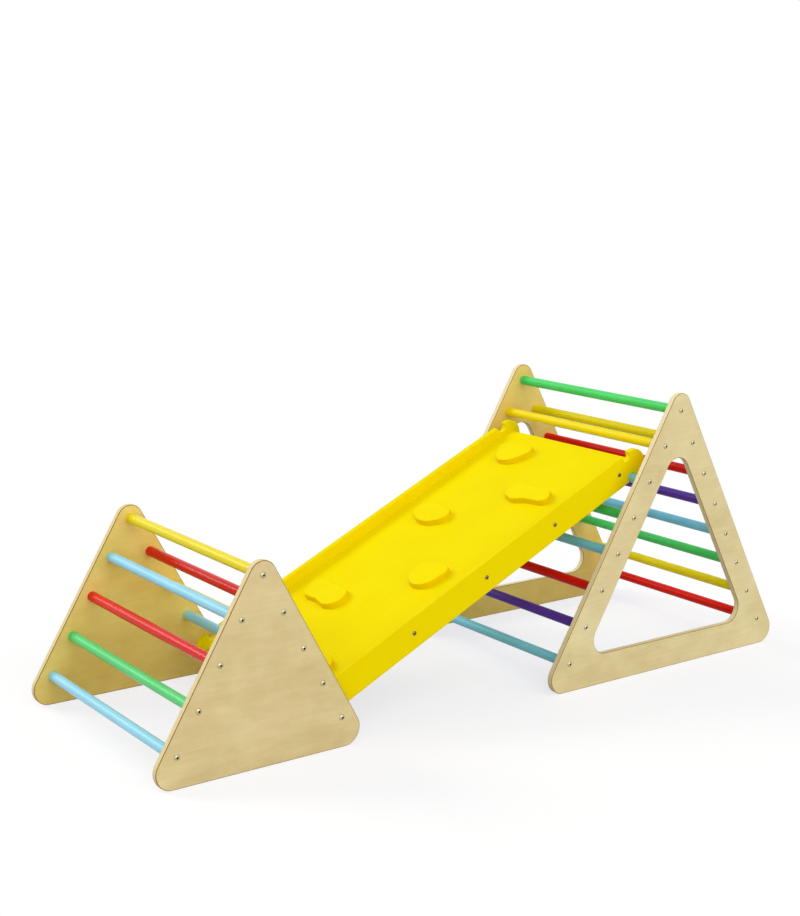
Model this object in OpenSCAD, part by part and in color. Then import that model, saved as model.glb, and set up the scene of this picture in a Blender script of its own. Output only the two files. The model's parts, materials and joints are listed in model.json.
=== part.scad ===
/* [Set] */
// Overall width of each triangle over its two side panels
set_w = 618; // [540:1:720]
// Sideways offset of the small triangle toward the far side
small_shift = 20; // [0:1:22]
// Thickness of the plywood side panels
ply_t = 15; // [12:0.5:18]
// Radius of the top corner of every side panel
apex_r = 34; // [20:1:45]
// Radius of the two foot corners of every side panel
foot_r = 40; // [20:1:50]

/* [Rungs] */
// Diameter of the round rungs
rung_d = 25; // [20:0.5:28]
// Depth of the insert hole in each rung end
insert_depth = 14; // [10:1:20]

/* [Large triangle] */
// Spacing of its rungs along each leg
large_pitch = 100; // [92:1:110]
// Height of its lowest rungs above the floor
large_low_h = 73; // [60:1:90]
// Distance from its rung line to the edge of the side panel
large_inset = 39.5; // [34:0.5:46]
// Width of the band around the window of its side panels
band_w = 80; // [66:1:92]
// Corner radius of the window
window_r = 41; // [20:1:50]

/* [Small triangle] */
// Spacing of its rungs along each leg
small_pitch = 103.7; // [96:0.1:112]
// Height of its lowest rungs above the floor
small_low_h = 70.4; // [60:0.1:90]
// Distance from its rung line to the edge of the side panel
small_inset = 33; // [30:0.5:46]

/* [Ramp] */
// Distance between the rung seats at its two ends
hook_l = 1019; // [960:1:1080]
// Clearance between the ramp and the side panels on each side
side_play = 45.5; // [24:0.5:70]
// Thickness of the two rails
rail_t = 15; // [12:0.5:18]
// Height of the two rails
rail_h = 75.5; // [68:0.5:84]
// Depth of the rung's centre inside the edge of the rail
seat_in = 6; // [3:0.5:8]
// Distance from a rung seat to the centre of the rail's round end
nose_in = 18.5; // [16:0.5:24]
// Radial clearance of a rung in its notch
seat_gap = 0.3; // [0.3:0.1:1.5]
// Corner radius of the notch's lip on the panel side
lip_r = 6; // [3:0.5:10]
// Thickness of the walking panel
board_t = 12; // [9:0.5:15]
// Distance from the end of a rail back to the end of the panel
board_setback = 28; // [15:1:40]
// Width of the widest climbing grips, across the ramp
grip_w = 150; // [120:1:165]
// Thickness of the climbing grips
grip_t = 17; // [12:0.5:20]

/* [Fasteners] */
// Thread diameter of the rung bolts
bolt_d = 6; // [5:0.5:7]
// Head diameter of the rung bolts
bolt_head_d = 13; // [10:0.5:14]
// Head height of the rung bolts
bolt_head_h = 3.5; // [2.8:0.1:4]
// Length of the rung bolts under the head
bolt_l = 30; // [26:1:36]
// Outer diameter of the threaded inserts
insert_d = 9; // [8.5:0.1:11]
// Shank diameter of the rail screws
screw_d = 5; // [4:0.5:6]
// Head diameter of the rail screws
screw_head_d = 11; // [8:0.5:12]
// Head height of the rail screws
screw_head_h = 3; // [2.6:0.1:4]
// Length of the rail screws under the head
screw_l = 50; // [40:1:60]
// Distance of the first rail screw from the upper rung seat
screw_start = 38; // [28:1:60]
// Distance of the last rail screw from the lower rung seat
screw_end = 32; // [28:1:60]
// Diameter of the dowels under the grips
dowel_d = 8; // [6:0.5:10]

/* [Hidden] */
$fn = 72;

// Paint and wood, as [red, green, blue]
wood = [0.85, 0.76, 0.56];
yellow = [0.96, 0.88, 0.10];
red = [0.80, 0.12, 0.09];
green = [0.29, 0.74, 0.37];
blue = [0.51, 0.80, 0.93];
purple = [0.33, 0.21, 0.58];
steel = [0.72, 0.73, 0.75];

// Rungs on each leg below the top rung, and their paint from the top down.
// The front leg of a triangle faces the ramp, the back leg faces away from it.
large_count = 7;
small_count = 4;
large_front_paint = [yellow, blue, green, blue, red, purple, blue];
large_back_paint = [yellow, red, purple, blue, green, yellow, red];
small_front_paint = [red, yellow, blue, yellow];
small_back_paint = [blue, red, green, blue];
// Rungs from the top rung down to the two that the ramp hangs between
large_hook_count = 2;
small_hook_count = 4;

// Each side panel is an equilateral triangle: its legs lean 60 degrees
leg_angle = 60;
leg_run = cos(leg_angle);
leg_rise = sin(leg_angle);
large_top_z = large_low_h + large_count * large_pitch * leg_rise;
small_top_z = small_low_h + small_count * small_pitch * leg_rise;
// Height of the point where the two straight edges would meet
large_h = large_top_z + large_inset / leg_run;
small_h = small_top_z + small_inset / leg_run;
window_h = large_h - band_w / leg_run;

// The ramp's slope follows from its length and the two rungs that it hangs on
hook_rise = large_top_z - large_hook_count * large_pitch * leg_rise
  - (small_top_z - small_hook_count * small_pitch * leg_rise);
hook_run = sqrt(hook_l * hook_l - hook_rise * hook_rise);
slope = atan2(hook_rise, hook_run);

// Places of the triangles, with the origin at the middle of the whole set
function half_foot(h) = h / tan(leg_angle) - foot_r / tan(leg_angle / 2) + foot_r;
centre_gap = large_hook_count * large_pitch * leg_run + hook_run + small_hook_count * small_pitch * leg_run;
large_x = (centre_gap + half_foot(small_h) - half_foot(large_h)) / 2;
small_x = large_x - centre_gap;
large_y = -small_shift / 2;
small_y = small_shift / 2;
inner_w = set_w - 2 * ply_t;
ramp_w = inner_w - 2 * side_play;
hook_x = large_x - large_hook_count * large_pitch * leg_run;
hook_z = large_top_z - large_hook_count * large_pitch * leg_rise;

// Depth by which a straight edge cuts into the circle of a rounded corner
seam = 0.02;

// Fits inside one assembly
thread_gap = 0.05;
hole_gap = 0.25;
insert_bore_d = insert_d + 2 * thread_gap;
bolt_hole_d = bolt_d + 2 * hole_gap;
bolt_key_d = 5.8;
screw_key_d = 4.6;
key_depth = 2;
head_rim = 0.7;
tip_gap = 2;
rung_ease = 1.5;

// Rail profile, measured along the ramp from a rung seat and up from the lower edge
notch_r = rung_d / 2 + seat_gap;
nose_r = rail_h / 2;
rail_end = nose_in + nose_r;
board_end = rail_end - board_setback;
board_w = ramp_w - 2 * rail_t;
screw_count = 5;

// Climbing grips on the upper face of the board
dowel_in_board = 6;
dowel_cover = 5;
dowel_l = dowel_in_board + grip_t - dowel_cover;
dowel_spread = 0.17 * grip_w;
// Each place is a share of the seat distance down the ramp, and of half the board's width toward
// the far side
grip_places = [
  [0.0756, 0.514], [0.2115, -0.3875], [0.3768, 0.4755], [0.5721, -0.4455], [0.74, 0.4325], [0.9352, -0.4625]
];
// Each outline runs round these circles, as [down the ramp, toward the far side, radius] in
// shares of grip_w. It passes inside a circle with a negative radius, which makes a hollow.
grip_outlines = [
  [[-0.018, 0.001, 0.299], [-0.105, 0.22, 0.153], [-0.14, 0.013, 0.18], [-0.133, -0.19, 0.183]],
  [[0.091, 0.173, 0.145], [-0.011, 0.285, 0.211], [-0.09, -0.303, 0.142], [-0.016, -0.364, 0.132],
    [0.507, -0.164, -0.369]],
  [[0.018, 0.047, 0.24], [-0.03, 0.181, 0.22], [-0.03, 0.007, 0.235], [-0.033, -0.179, 0.213],
    [0.018, -0.067, 0.238]],
  [[0.026, -0.018, 0.293], [-0.037, 0.113, 0.22], [-0.06, -0.013, 0.253], [-0.15, -0.177, 0.16]],
  [[0.025, -0.243, 0.239], [0.371, 0.028, -0.155], [0.05, 0.262, 0.177], [-0.075, 0.313, 0.179],
    [-0.013, -0.239, 0.225]],
  [[0.007, 0, 0.24], [-0.013, 0.22, 0.2], [-0.02, 0, 0.22], [-0.013, -0.223, 0.203]]
];

module along_y() {
  rotate([-90, 0, 0])
    children();
}

// Angle of the outward normal of the line that touches circle a, then circle b
function normal_angle(a, b) = atan2(b.y - a.y, b.x - a.x) - 90
  + asin((a.z - b.z) / norm([b.x - a.x, b.y - a.y]));
function touch_point(c, angle) = [c.x, c.y] + c.z * [cos(angle), sin(angle)];

// Smooth flat shape round a loop of circles, given anticlockwise. The straight lines cut each
// circle by seam, so that they cross it cleanly.
module tangent_loop(circles) {
  n = len(circles);
  cores = [for (c = circles) [c.x, c.y, c.z - sign(c.z) * seam]];
  angles = [for (i = [0:n - 1]) normal_angle(cores[i], cores[(i + 1) % n])];
  difference() {
    union() {
      polygon([
        for (i = [0:n - 1], k = [0:2])
          k == 0 ? touch_point(cores[i], angles[(i + n - 1) % n])
            : k == 1 ? [cores[i].x, cores[i].y] : touch_point(cores[i], angles[i])
      ]);
      for (c = circles)
        if (c.z > 0)
          translate([c.x, c.y])
            circle(c.z);
    }
    for (c = circles)
      if (c.z < 0)
        translate([c.x, c.y])
          circle(-c.z);
  }
}

// Equilateral triangle that stands on base, its corners rounded
module rounded_triangle(h, base, top_r, low_r) {
  half = (h - base) / tan(leg_angle) - low_r / tan(leg_angle / 2);
  tangent_loop([
    [half, base + low_r, low_r],
    [0, h - top_r / leg_run, top_r],
    [-half, base + low_r, low_r]
  ]);
}

// Places its children at every rung centre, in a plane that faces along Y
module at_rungs(top_z, pitch, count) {
  translate([0, 0, top_z])
    children();
  for (side = [-1, 1], i = [1:count])
    translate([side * i * pitch * leg_run, 0, top_z - i * pitch * leg_rise])
      children();
}

module side_panel(h, top_z, pitch, count) {
  difference() {
    rotate([90, 0, 0])
      linear_extrude(ply_t)
        difference() {
          rounded_triangle(h, 0, apex_r, foot_r);
          children();
        }
    at_rungs(top_z, pitch, count)
      along_y()
        translate([0, 0, -ply_t - 1])
          cylinder(d = bolt_hole_d, h = ply_t + 2);
  }
}

module large_side() {
  side_panel(large_h, large_top_z, large_pitch, large_count)
    rounded_triangle(window_h, band_w, window_r, window_r);
}

module small_side() {
  side_panel(small_h, small_top_z, small_pitch, small_count);
}

// One rung, centred on the origin, with an insert hole and a tip hole in each end
module rung() {
  tip_depth = bolt_l - ply_t + tip_gap;
  along_y()
    difference() {
      union() {
        translate([0, 0, -inner_w / 2 + rung_ease])
          cylinder(d = rung_d, h = inner_w - 2 * rung_ease);
        for (end = [0, 1])
          mirror([0, 0, end])
            translate([0, 0, inner_w / 2 - rung_ease])
              cylinder(d1 = rung_d, d2 = rung_d - 2 * rung_ease, h = rung_ease);
      }
      for (end = [0, 1])
        mirror([0, 0, end]) {
          translate([0, 0, inner_w / 2 - insert_depth])
            cylinder(d = insert_bore_d, h = insert_depth + 1);
          translate([0, 0, inner_w / 2 - tip_depth])
            cylinder(d = bolt_hole_d, h = tip_depth);
        }
    }
}

module leg_rung(x, y, top_z, pitch, side, i, paint) {
  color(paint)
    translate([x + side * i * pitch * leg_run, y, top_z - i * pitch * leg_rise])
      rung();
}

// Domed head with a hex socket on the plane z = 0, and its shank along -Z
module cap_screw(head_d, head_h, key_d, shank_d, shank_l) {
  rise = head_h - head_rim;
  dome_r = (head_d * head_d / 4 + rise * rise) / (2 * rise);
  difference() {
    union() {
      intersection() {
        cylinder(d = head_d, h = head_h);
        translate([0, 0, head_h - dome_r])
          sphere(dome_r);
      }
      translate([0, 0, -shank_l])
        cylinder(d = shank_d, h = shank_l);
    }
    translate([0, 0, head_h - key_depth])
      cylinder(d = key_d, h = key_depth + 1, $fn = 6);
  }
}

// Rung bolt, its head on the plane y = 0 and its shank along +Y
module bolt() {
  rotate([90, 0, 0])
    cap_screw(bolt_head_d, bolt_head_h, bolt_key_d, bolt_d, bolt_l);
}

module bolt_set(x, y, top_z, pitch, count, side) {
  color(steel)
    translate([x, y + side * set_w / 2, 0])
      at_rungs(top_z, pitch, count)
        mirror([0, side > 0 ? 1 : 0, 0])
          bolt();
}

module insert_set(x, y, top_z, pitch, count) {
  color(steel)
    translate([x, y, 0])
      at_rungs(top_z, pitch, count)
        for (end = [0, 1])
          mirror([0, end, 0])
            translate([0, inner_w / 2 - insert_depth, 0])
              along_y()
                difference() {
                  cylinder(d = insert_d, h = insert_depth - 0.3);
                  translate([0, 0, -1])
                    cylinder(d = bolt_d + 2 * thread_gap, h = insert_depth + 2);
                }
}

// Sets its children into the ramp: x runs down the ramp from the upper rung seat,
// y to the far side and z up from the lower edge of the rails
module on_ramp() {
  translate([hook_x, large_y, hook_z])
    rotate([0, slope, 180])
      mirror([0, 1, 0])
        translate([0, 0, -seat_in])
          children();
}

// Half of the rail's outline with the upper seat at x = 0, up to the middle of the rail
module half_rail() {
  difference() {
    union() {
      translate([-nose_in, 0])
        square([nose_in + hook_l / 2, rail_h]);
      translate([-nose_in, nose_r])
        circle(nose_r);
    }
    for (edge = [0, 1])
      translate([0, edge * rail_h])
        mirror([0, edge, 0]) {
          translate([0, seat_in])
            circle(notch_r);
          translate([-notch_r, -1])
            square([2 * notch_r, seat_in + 1]);
          difference() {
            translate([notch_r - 1, -1])
              square([lip_r + 1, lip_r + 1]);
            translate([notch_r + lip_r, lip_r])
              circle(lip_r);
          }
        }
  }
}

module rail(side) {
  color(yellow)
    on_ramp()
      translate([0, side * (ramp_w - rail_t) / 2, 0])
        difference() {
          rotate([90, 0, 0])
            translate([0, 0, -rail_t / 2])
              linear_extrude(rail_t)
                union() {
                  half_rail();
                  translate([hook_l, 0])
                    mirror([1, 0])
                      half_rail();
                }
          at_screws(side)
            screw_hole();
        }
}

// Places its children at each rail screw, head on the outer face and pointing inward
module at_screws(side) {
  step = (hook_l - screw_start - screw_end) / (screw_count - 1);
  for (i = [0:screw_count - 1])
    translate([screw_start + i * step, side * rail_t / 2, rail_h / 2])
      rotate([side * 90, 0, 0])
        children();
}

module screw_hole() {
  translate([0, 0, -1])
    cylinder(d = screw_d + 2 * thread_gap, h = screw_l + 2);
}

module screws(side) {
  color(steel)
    on_ramp()
      translate([0, side * (ramp_w - rail_t) / 2, 0])
        at_screws(side)
          mirror([0, 0, 1])
            cap_screw(screw_head_d, screw_head_h, screw_key_d, screw_d, screw_l);
}

module at_grip(i) {
  translate([grip_places[i].x * hook_l, grip_places[i].y * board_w / 2, (rail_h + board_t) / 2])
    children();
}

module dowels(i, d) {
  at_grip(i)
    for (side = [-1, 1])
      translate([0, side * dowel_spread, -dowel_in_board])
        cylinder(d = d, h = dowel_l);
}

module ramp_board() {
  color(yellow)
    on_ramp()
      difference() {
        translate([-board_end, -board_w / 2, (rail_h - board_t) / 2])
          cube([hook_l + 2 * board_end, board_w, board_t]);
        for (side = [-1, 1])
          translate([0, side * (ramp_w - rail_t) / 2, 0])
            at_screws(side)
              screw_hole();
        for (i = [0:len(grip_places) - 1])
          dowels(i, dowel_d + 2 * thread_gap);
      }
}

module grip(i) {
  color(yellow)
    on_ramp()
      difference() {
        at_grip(i)
          linear_extrude(grip_t)
            tangent_loop(grip_outlines[i] * grip_w);
        dowels(i, dowel_d + 2 * thread_gap);
      }
}

module grip_dowels() {
  color(wood)
    on_ramp()
      for (i = [0:len(grip_places) - 1])
        dowels(i, dowel_d);
}

// Large triangle
module large_near_panel() {
  color(wood)
    translate([large_x, large_y - inner_w / 2, 0])
      large_side();
}

module large_far_panel() {
  color(wood)
    translate([large_x, large_y + set_w / 2, 0])
      large_side();
}

module large_near_bolts() {
  bolt_set(large_x, large_y, large_top_z, large_pitch, large_count, -1);
}

module large_far_bolts() {
  bolt_set(large_x, large_y, large_top_z, large_pitch, large_count, 1);
}

module large_inserts() {
  insert_set(large_x, large_y, large_top_z, large_pitch, large_count);
}

module large_top_rung() {
  leg_rung(large_x, large_y, large_top_z, large_pitch, 0, 0, green);
}

module large_front_rung(i) {
  leg_rung(large_x, large_y, large_top_z, large_pitch, -1, i, large_front_paint[i - 1]);
}

module large_back_rung(i) {
  leg_rung(large_x, large_y, large_top_z, large_pitch, 1, i, large_back_paint[i - 1]);
}

// Small triangle
module small_near_panel() {
  color(wood)
    translate([small_x, small_y - inner_w / 2, 0])
      small_side();
}

module small_far_panel() {
  color(wood)
    translate([small_x, small_y + set_w / 2, 0])
      small_side();
}

module small_near_bolts() {
  bolt_set(small_x, small_y, small_top_z, small_pitch, small_count, -1);
}

module small_far_bolts() {
  bolt_set(small_x, small_y, small_top_z, small_pitch, small_count, 1);
}

module small_inserts() {
  insert_set(small_x, small_y, small_top_z, small_pitch, small_count);
}

module small_top_rung() {
  leg_rung(small_x, small_y, small_top_z, small_pitch, 0, 0, yellow);
}

module small_front_rung(i) {
  leg_rung(small_x, small_y, small_top_z, small_pitch, 1, i, small_front_paint[i - 1]);
}

module small_back_rung(i) {
  leg_rung(small_x, small_y, small_top_z, small_pitch, -1, i, small_back_paint[i - 1]);
}

large_near_panel();
large_far_panel();
large_near_bolts();
large_far_bolts();
large_inserts();
large_top_rung();
large_front_rung(1);  // large_front_rung_1
large_front_rung(2);  // large_front_rung_2
large_front_rung(3);  // large_front_rung_3
large_front_rung(4);  // large_front_rung_4
large_front_rung(5);  // large_front_rung_5
large_front_rung(6);  // large_front_rung_6
large_front_rung(7);  // large_front_rung_7
large_back_rung(1);  // large_back_rung_1
large_back_rung(2);  // large_back_rung_2
large_back_rung(3);  // large_back_rung_3
large_back_rung(4);  // large_back_rung_4
large_back_rung(5);  // large_back_rung_5
large_back_rung(6);  // large_back_rung_6
large_back_rung(7);  // large_back_rung_7
small_near_panel();
small_far_panel();
small_near_bolts();
small_far_bolts();
small_inserts();
small_top_rung();
small_front_rung(1);  // small_front_rung_1
small_front_rung(2);  // small_front_rung_2
small_front_rung(3);  // small_front_rung_3
small_front_rung(4);  // small_front_rung_4
small_back_rung(1);  // small_back_rung_1
small_back_rung(2);  // small_back_rung_2
small_back_rung(3);  // small_back_rung_3
small_back_rung(4);  // small_back_rung_4
rail(-1);  // ramp_near_rail
rail(1);  // ramp_far_rail
ramp_board();
screws(-1);  // ramp_near_screws
screws(1);  // ramp_far_screws
grip(0);  // grip_1
grip(1);  // grip_2
grip(2);  // grip_3
grip(3);  // grip_4
grip(4);  // grip_5
grip(5);  // grip_6
grip_dowels();
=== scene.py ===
import json
import logging
import math
from dataclasses import dataclass, fields
from enum import Enum
from typing import ClassVar

import bmesh
import bpy
from mathutils import Matrix, Vector
from mathutils.geometry import tessellate_polygon


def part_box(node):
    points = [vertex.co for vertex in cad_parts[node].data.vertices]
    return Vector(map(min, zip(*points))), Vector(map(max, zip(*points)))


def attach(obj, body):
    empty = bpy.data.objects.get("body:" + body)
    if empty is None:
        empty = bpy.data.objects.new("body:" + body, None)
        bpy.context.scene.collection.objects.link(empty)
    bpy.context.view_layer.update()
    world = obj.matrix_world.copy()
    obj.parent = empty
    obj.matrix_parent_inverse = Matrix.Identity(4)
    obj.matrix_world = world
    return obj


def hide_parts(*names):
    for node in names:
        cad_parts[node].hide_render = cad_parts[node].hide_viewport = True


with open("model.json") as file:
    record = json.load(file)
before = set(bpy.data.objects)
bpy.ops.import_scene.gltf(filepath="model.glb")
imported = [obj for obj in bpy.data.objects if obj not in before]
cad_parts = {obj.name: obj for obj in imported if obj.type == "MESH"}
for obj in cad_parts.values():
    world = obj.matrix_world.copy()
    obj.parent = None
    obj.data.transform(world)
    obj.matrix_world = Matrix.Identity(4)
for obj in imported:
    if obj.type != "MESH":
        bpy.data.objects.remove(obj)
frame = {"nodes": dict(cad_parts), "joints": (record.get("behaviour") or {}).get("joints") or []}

Point = tuple[float, float]
Loop = list[Point]
Triple = tuple[float, float, float]
Colour = tuple[float, float, float]
Material = bpy.types.Material
Node = bpy.types.Node
Piece = bpy.types.Object
Socket = bpy.types.NodeSocket
Sockets = bpy.types.bpy_prop_collection

LOG = logging.getLogger("climbing_set")
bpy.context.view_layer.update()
MM = 0.001
LEG_ANGLE = math.pi / 3


def linear(red: int, green: int, blue: int) -> Colour:
    """Turns an sRGB screen colour into the linear colour that a shader takes.

    Args:
        red: Red, 0 to 255.
        green: Green, 0 to 255.
        blue: Blue, 0 to 255.

    Returns:
        The linear colour.
    """
    def channel(value: int) -> float:
        """Returns one linear channel."""
        share = value / 255
        return share / 12.92 if share <= 0.04045 else ((share + 0.055) / 1.055) ** 2.4

    return channel(red), channel(green), channel(blue)


def standing(axes: tuple[Vector, Vector, Vector], origin: Vector) -> Matrix:
    """Returns the matrix with these X, Y and Z axes and this origin."""
    rows = [(*(axis[i] for axis in axes), origin[i]) for i in range(3)]
    return Matrix((*rows, (0, 0, 0, 1)))


class Side(Enum):
    """The two sides of the set, seen from the camera."""

    NEAR = -1
    FAR = 1

    @property
    def label(self) -> str:
        """The side's name, as the nodes have it."""
        return self.name.lower()

    def outermost(self, node: str) -> float:
        """Returns the Y of a node's outward face."""
        low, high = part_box(node)
        return low.y if self is Side.NEAR else high.y

    def ordered(self, outer: Material, edge: Material, inner: Material) -> list[Material]:
        """Returns the materials of a board on this side, in the order of Surface."""
        slots = [outer, edge, inner]
        return slots if self is Side.NEAR else slots[::-1]

    def looking_out(self, x: float, y: float, z: float) -> Matrix:
        """Returns the place of a fastener there, in metres, with its head outward."""
        turn = Matrix.Rotation(math.pi / 2 * -self.value, 4, "X")
        return Matrix.Translation((x, y, z)) @ turn


class Surface(Enum):
    """Material slots of a piece cut from board."""

    LOW_FACE = 0
    EDGE = 1
    HIGH_FACE = 2


class Part(Enum):
    """Material slots of a fastener."""

    DOME = 0
    # RIM is dark metal that paints shade on the ring round each head and the socket's walls;
    # SOCKET paints deeper shade on the socket's floor.
    RIM = 1
    SOCKET = 2


class Effect(Enum):
    """The effects that finishes share, each a node group of this name."""

    GRAIN = "birch_grain"
    PLIES = "ply_layers"
    COAT = "sprayed_paint"
    PLATING = "cloudy_plating"


class Grain(Enum):
    """Rotation that turns the grain, which runs along X, to another direction."""

    ALONG_X = (0.0, 0.0, 0.0)
    ALONG_Y = (0.0, 0.0, math.pi / 2)
    DOWN_RAMP = (0.0, 0.44, 0.0)


class NodeTree:
    """A short way to write shader nodes."""

    def __init__(self, tree: bpy.types.NodeTree) -> None:
        """Keeps the tree and empties it."""
        self.tree = tree
        tree.nodes.clear()

    def add(self, kind: str, *ordered: object, settings: dict | None = None,
            **inputs: object) -> Node:
        """Adds a node.

        Args:
            kind: The node's type name, without the ShaderNode prefix.
            *ordered: Values or sockets for its first inputs, in their order.
            settings: Properties of the node.
            **inputs: Values or sockets for its inputs by name, as in fill.

        Returns:
            The new node.
        """
        node = self.tree.nodes.new("ShaderNode" + kind)
        for key, value in (settings or {}).items():
            setattr(node, key, value)
        for socket, value in zip(node.inputs, ordered):
            self.feed(socket, value)
        self.fill(node, **inputs)
        return node

    def fill(self, node: Node, **inputs: object) -> None:
        """Feeds a node's inputs by name.

        Args:
            node: The node.
            **inputs: Values or sockets for its inputs, with _ for a space in the name.
        """
        for key, value in inputs.items():
            self.feed(node.inputs[key.replace("_", " ")], value)

    def feed(self, socket: Socket, value: object) -> None:
        """Links a socket to another, or sets its value.

        Args:
            socket: The input.
            value: An output socket, or the value to set.
        """
        if isinstance(value, Socket):
            self.tree.links.new(value, socket)
        elif isinstance(value, tuple) and socket.type == "RGBA":
            socket.default_value = (*value, 1.0)
        else:
            socket.default_value = value

    def math(self, operation: str, first: object, second: object = 0.0,
             third: object = 0.0, clamp: bool = False) -> Socket:
        """Adds a Math node.

        Args:
            operation: The operation's name.
            first: The first value or socket.
            second: The second value or socket.
            third: The third value or socket.
            clamp: Whether the result stays between 0 and 1.

        Returns:
            The result's socket.
        """
        settings = {"operation": operation, "use_clamp": clamp}
        return self.add("Math", first, second, third, settings=settings).outputs[0]

    def mix(self, amount: object, first: object, second: object) -> Socket:
        """Adds a colour mix.

        Args:
            amount: How much of the second colour.
            first: The first colour or socket.
            second: The second colour or socket.

        Returns:
            The mixed colour's socket.
        """
        node = self.add("Mix", amount, settings={"data_type": "RGBA"})
        for index, value in ((6, first), (7, second)):
            self.feed(node.inputs[index], value)
        return node.outputs[2]

    def span(self, value: object, low: float, high: float,
             to_low: float = 0.0, to_high: float = 1.0) -> Socket:
        """Maps a value from one range to another, and keeps it there.

        Args:
            value: The value or socket.
            low: Start of its range.
            high: End of its range.
            to_low: What the start becomes.
            to_high: What the end becomes.

        Returns:
            The mapped value's socket.
        """
        node = self.add("MapRange", Value=value, From_Min=low, From_Max=high,
                        To_Min=to_low, To_Max=to_high)
        return node.outputs["Result"]

    def noise(self, vector: Socket, scale: object, detail: float,
              stretch: Triple | None = None, **settings: float) -> Socket:
        """Adds a noise texture.

        Args:
            vector: The coordinates.
            scale: The noise's scale, or a socket for it.
            detail: How many finer layers it has.
            stretch: How far each axis is scaled first.
            **settings: The noise's other inputs.

        Returns:
            The noise's socket.
        """
        if stretch:
            vector = self.add("Mapping", Vector=vector, Scale=stretch).outputs[0]
        node = self.add("TexNoise", Vector=vector, Scale=scale, Detail=detail, **settings)
        return node.outputs["Fac"]


class Groups:
    """The shader node groups that the finishes share, each built once."""

    OUTPUTS = {"Color": "Color", "Roughness": "Float", "Height": "Float"}
    # Where most of a noise's values lie.
    USUAL = (0.3, 0.7)
    # Scales along X, Y and Z that draw a noise out along the grain.
    RINGS = (1.3, 9.0, 9.0)
    STREAKS = (5.0, 240.0, 240.0)
    PORES = (60.0, 900.0, 900.0)
    FLECKS = (1.0, 1.6, 1.6)
    PLY_FIBRES = (300.0, 900.0, 300.0)
    SPRAY_STREAKS = (6.0, 170.0, 170.0)
    # How far ply layers waver and how softly the darker line starts, in metres.
    PLY_WAVER = 0.0003
    LINE_FADE = 0.0006

    def __init__(self) -> None:
        """Builds every group."""
        self.built: dict[Effect, bpy.types.NodeTree] = {}
        self._build_grain()
        self._build_plies()
        self._build_coat()
        self._build_plating()

    def _start(self, effect: Effect, **inputs: str) -> tuple[NodeTree, Sockets, Node]:
        """Opens an empty group and keeps it.

        Args:
            effect: The effect that it builds.
            **inputs: Socket type of each input, apart from the coordinates.

        Returns:
            The tree, the sockets that it is given and its output node.
        """
        group = bpy.data.node_groups.new(effect.value, "ShaderNodeTree")
        tree = NodeTree(group)
        sockets = (("INPUT", {"Vector": "Vector", **inputs}), ("OUTPUT", self.OUTPUTS))
        for way, kinds in sockets:
            for label, kind in kinds.items():
                group.interface.new_socket(name=label, in_out=way, socket_type="NodeSocket" + kind)
        self.built[effect] = group
        source = group.nodes.new("NodeGroupInput")
        return tree, source.outputs, group.nodes.new("NodeGroupOutput")

    def _build_grain(self) -> None:
        """Builds birch veneer, its grain along X: rings, streaks, pores and soft clouds."""
        tree, given, sink = self._start(Effect.GRAIN, Light="Color", Dark="Color",
                                        Blush="Color", Figure="Float", Pores="Float")
        vector = given["Vector"]
        figure = tree.noise(vector, 1.6, 3.0, self.RINGS, Distortion=0.7)
        rings = tree.math("FRACT", tree.math("MULTIPLY", figure, 9.0))
        ring = tree.math("SMOOTH_MIN", rings, tree.math("SUBTRACT", 1.0, rings), 0.2)
        streak = tree.noise(vector, 1.0, 4.0, self.STREAKS, Roughness=0.6)
        pore = tree.span(tree.noise(vector, 1.0, 1.0, self.PORES), 0.62, 0.74)
        cloud = tree.noise(vector, 17.0, 3.0, self.FLECKS, Roughness=0.55)
        drift = tree.noise(vector, 5.0, 1.0, self.FLECKS, Distortion=0.4)
        flush = tree.noise(vector, 11.0, 2.0)
        tone = tree.math("MULTIPLY_ADD", ring, given["Figure"],
                         tree.span(streak, *self.USUAL, 0.0, 0.16))
        tone = tree.math("ADD", tone, tree.span(cloud, *self.USUAL, 0.12, 0.46))
        tone = tree.math("ADD", tone, tree.span(drift, *self.USUAL, -0.3, 0.22))
        tone = tree.math("MULTIPLY_ADD", pore, given["Pores"], tone, clamp=True)
        wood = tree.mix(tone, given["Light"], given["Dark"])
        warmth = tree.span(flush, 0.4, 0.75, 0.0, 0.35)
        tree.fill(sink, Color=tree.mix(warmth, wood, given["Blush"]),
                  Roughness=tree.span(streak, *self.USUAL, 0.46, 0.58),
                  Height=tree.math("SUBTRACT", streak, pore))

    def _build_plies(self) -> None:
        """Builds plywood's edge: layers stacked along Y, with a darker line at each face."""
        tree, given, sink = self._start(Effect.PLIES, Middle="Float", Layer="Float",
                                        Line="Float", Light="Color", Dark="Color",
                                        Scorch="Color")
        vector = given["Vector"]
        across = tree.add("SeparateXYZ", Vector=vector).outputs["Y"]
        depth = tree.math("ABSOLUTE", tree.math("SUBTRACT", across, given["Middle"]))
        waver = tree.math("SUBTRACT", tree.noise(vector, 14.0, 2.0), 0.5)
        wavy = tree.math("MULTIPLY_ADD", waver, self.PLY_WAVER, depth)
        layer = tree.math("PINGPONG", tree.math("DIVIDE", wavy, given["Layer"]), 1.0)
        band = tree.span(layer, 0.4, 0.6)
        fibre = tree.noise(vector, 1.0, 2.0, self.PLY_FIBRES)
        tone = tree.math("ADD", tree.span(fibre, *self.USUAL, -0.25, 0.25),
                         tree.math("MULTIPLY", band, 0.75), clamp=True)
        past = tree.math("SUBTRACT", depth, given["Line"])
        line = tree.math("DIVIDE", past, self.LINE_FADE, clamp=True)
        wood = tree.mix(tone, given["Light"], given["Dark"])
        tree.fill(sink, Color=tree.mix(line, wood, given["Scorch"]),
                  Roughness=tree.span(band, 0.0, 1.0, 0.5, 0.66),
                  Height=tree.math("SUBTRACT", fibre, tree.math("MULTIPLY", band, 0.3)))

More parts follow.
